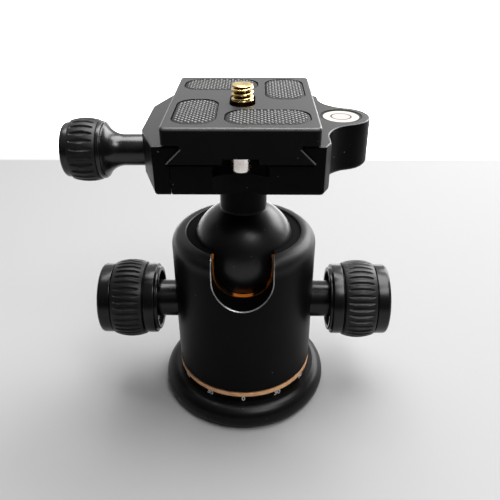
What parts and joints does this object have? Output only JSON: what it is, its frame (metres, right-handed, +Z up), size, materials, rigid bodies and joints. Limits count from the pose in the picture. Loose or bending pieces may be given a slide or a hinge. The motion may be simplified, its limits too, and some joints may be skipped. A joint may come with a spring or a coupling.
{
  "type": "tripod ball head",
  "caption": "Ball head for a tripod: panning base with a scale, ball in a notched housing, two lock knobs, and a dovetail clamp with a quick release plate and level.",
  "frame": {"origin": "centre of the tripod socket's mouth in the base's bottom face", "axes": "+Z up along the panning axis, the drop notch faces -Y, the clamp knob points to -X"},
  "size_m": [0.1006, 0.057, 0.1077],
  "materials": {
    "base": "black anodised, satin",
    "bushing": "turned steel",
    "spindle": "ground steel",
    "scale_ring": "copper coloured anodised",
    "slip_washer": "low friction plastic",
    "spring_steel": "blued spring steel",
    "housing": "black satin anodised",
    "liner": "orange low friction plastic",
    "seat": "low friction plastic",
    "ball": "black anodised, polished",
    "plunger": "turned brass",
    "knob_metal": "black anodised, satin",
    "grip_rubber": "ribbed rubber",
    "clamp": "black anodised, slightly rough",
    "bolt": "black oxide steel",
    "level_case": "white plastic",
    "level_fluid": "clear fluid",
    "level_bubble": "air bubble",
    "level_window": "clear acrylic",
    "pin_steel": "ground steel",
    "spring_wire": "spring wire",
    "plate": "black anodised, slightly rough",
    "pad_rubber": "cross-hatched rubber",
    "stop_screw": "bright steel",
    "washer": "steel",
    "camera_screw": "turned brass"
  },
  "bodies": {
    "base": {"base_flange": "base", "tripod_bushing": "bushing", "pan_spindle": "spindle", "scale_ring": "scale_ring", "lower_slip_washer": "slip_washer", "upper_slip_washer": "slip_washer", "spindle_circlip": "spring_steel"},
    "housing": {"housing": "housing", "ball_liner": "liner", "liner_snap_ring": "spring_steel"},
    "seat": {"ball_seat": "seat"},
    "ball": {"ball_stem": "ball"},
    "ball_lock": {"ball_lock_plunger": "plunger"},
    "ball_lock_knob": {"ball_lock_knob_body": "knob_metal", "ball_lock_knob_grip": "grip_rubber", "ball_lock_knob_cap": "knob_metal"},
    "pan_brake": {"pan_brake_shoe": "plunger"},
    "pan_lock_knob": {"pan_lock_knob_body": "knob_metal", "pan_lock_knob_grip": "grip_rubber", "pan_lock_knob_cap": "knob_metal"},
    "clamp": {"clamp_body": "clamp", "clamp_bolt": "bolt", "level_case": "level_case", "level_fluid": "level_fluid", "level_bubble": "level_bubble", "level_window": "level_window", "jaw_spring": "spring_wire"},
    "jaw": {"moving_jaw": "clamp", "jaw_guide_pins": "pin_steel"},
    "clamp_knob": {"clamp_screw": "pin_steel", "clamp_knob_body": "knob_metal", "clamp_knob_grip": "grip_rubber", "clamp_knob_cap": "knob_metal"},
    "plate": {"quick_release_plate": "plate", "pad_front_right": "pad_rubber", "pad_back_left": "pad_rubber", "pad_front_left": "pad_rubber", "pad_back_right": "pad_rubber", "stop_screws": "stop_screw"},
    "screw_carriage": {"screw_washer": "washer"},
    "camera_screw": {"camera_screw": "camera_screw"}
  },
  "joints": [
    {"name": "pan", "type": "hinge", "parent": "base", "child": "housing", "pos_m": [0, 0, 0.012], "axis": [0, 0, 1], "continuous": true},
    {"name": "ball_swivel", "type": "hinge", "parent": "housing", "child": "seat", "pos_m": [0, 0, 0.0545], "axis": [0, 0, 1], "range_deg": [-180, 0]},
    {"name": "ball_tilt", "type": "hinge", "parent": "seat", "child": "ball", "pos_m": [0, 0, 0.0545], "axis": [1, 0, 0], "range_deg": [-42, 90]},
    {"name": "ball_turn", "type": "hinge", "parent": "ball", "child": "clamp", "pos_m": [0, 0, 0.0545], "axis": [0, 0, 1], "continuous": true},
    {"name": "ball_lock_travel", "type": "slide", "parent": "housing", "child": "ball_lock", "axis": [-1, 0, 0], "range_m": [0, 0.00125]},
    {"name": "ball_lock_knob", "type": "hinge", "parent": "ball_lock", "child": "ball_lock_knob", "pos_m": [-0.03, 0, 0.034], "axis": [-1, 0, 0], "range_deg": [0, 360]},
    {"name": "pan_brake_travel", "type": "slide", "parent": "housing", "child": "pan_brake", "axis": [1, 0, 0], "range_m": [0, 0.00125]},
    {"name": "pan_lock_knob", "type": "hinge", "parent": "pan_brake", "child": "pan_lock_knob", "pos_m": [0.03, 0, 0.034], "axis": [1, 0, 0], "range_deg": [0, 360]},
    {"name": "jaw_travel", "type": "slide", "parent": "clamp", "child": "jaw", "axis": [-1, 0, 0], "range_m": [0, 0.0032], "deforming": ["jaw_spring"]},
    {"name": "clamp_knob", "type": "hinge", "parent": "jaw", "child": "clamp_knob", "pos_m": [-0.03, 0, 0.0879], "axis": [-1, 0, 0], "range_deg": [0, 1440]},
    {"name": "plate_slide", "type": "slide", "parent": "clamp", "child": "plate", "axis": [0, 1, 0], "range_m": [-0.014, 0.014]},
    {"name": "screw_slide", "type": "slide", "parent": "plate", "child": "screw_carriage", "axis": [0, 1, 0], "range_m": [-0.003, 0.003]},
    {"name": "camera_screw", "type": "hinge", "parent": "screw_carriage", "child": "camera_screw", "pos_m": [0, -0.001, 0.1], "axis": [0, 0, 1], "continuous": true}
  ],
  "couplings": [
    {"joint": "ball_lock_knob", "follows": "ball_lock_travel", "rad_per_m": 5026.5},
    {"joint": "pan_lock_knob", "follows": "pan_brake_travel", "rad_per_m": 5026.5},
    {"joint": "clamp_knob", "follows": "jaw_travel", "rad_per_m": 7854}
  ]
}
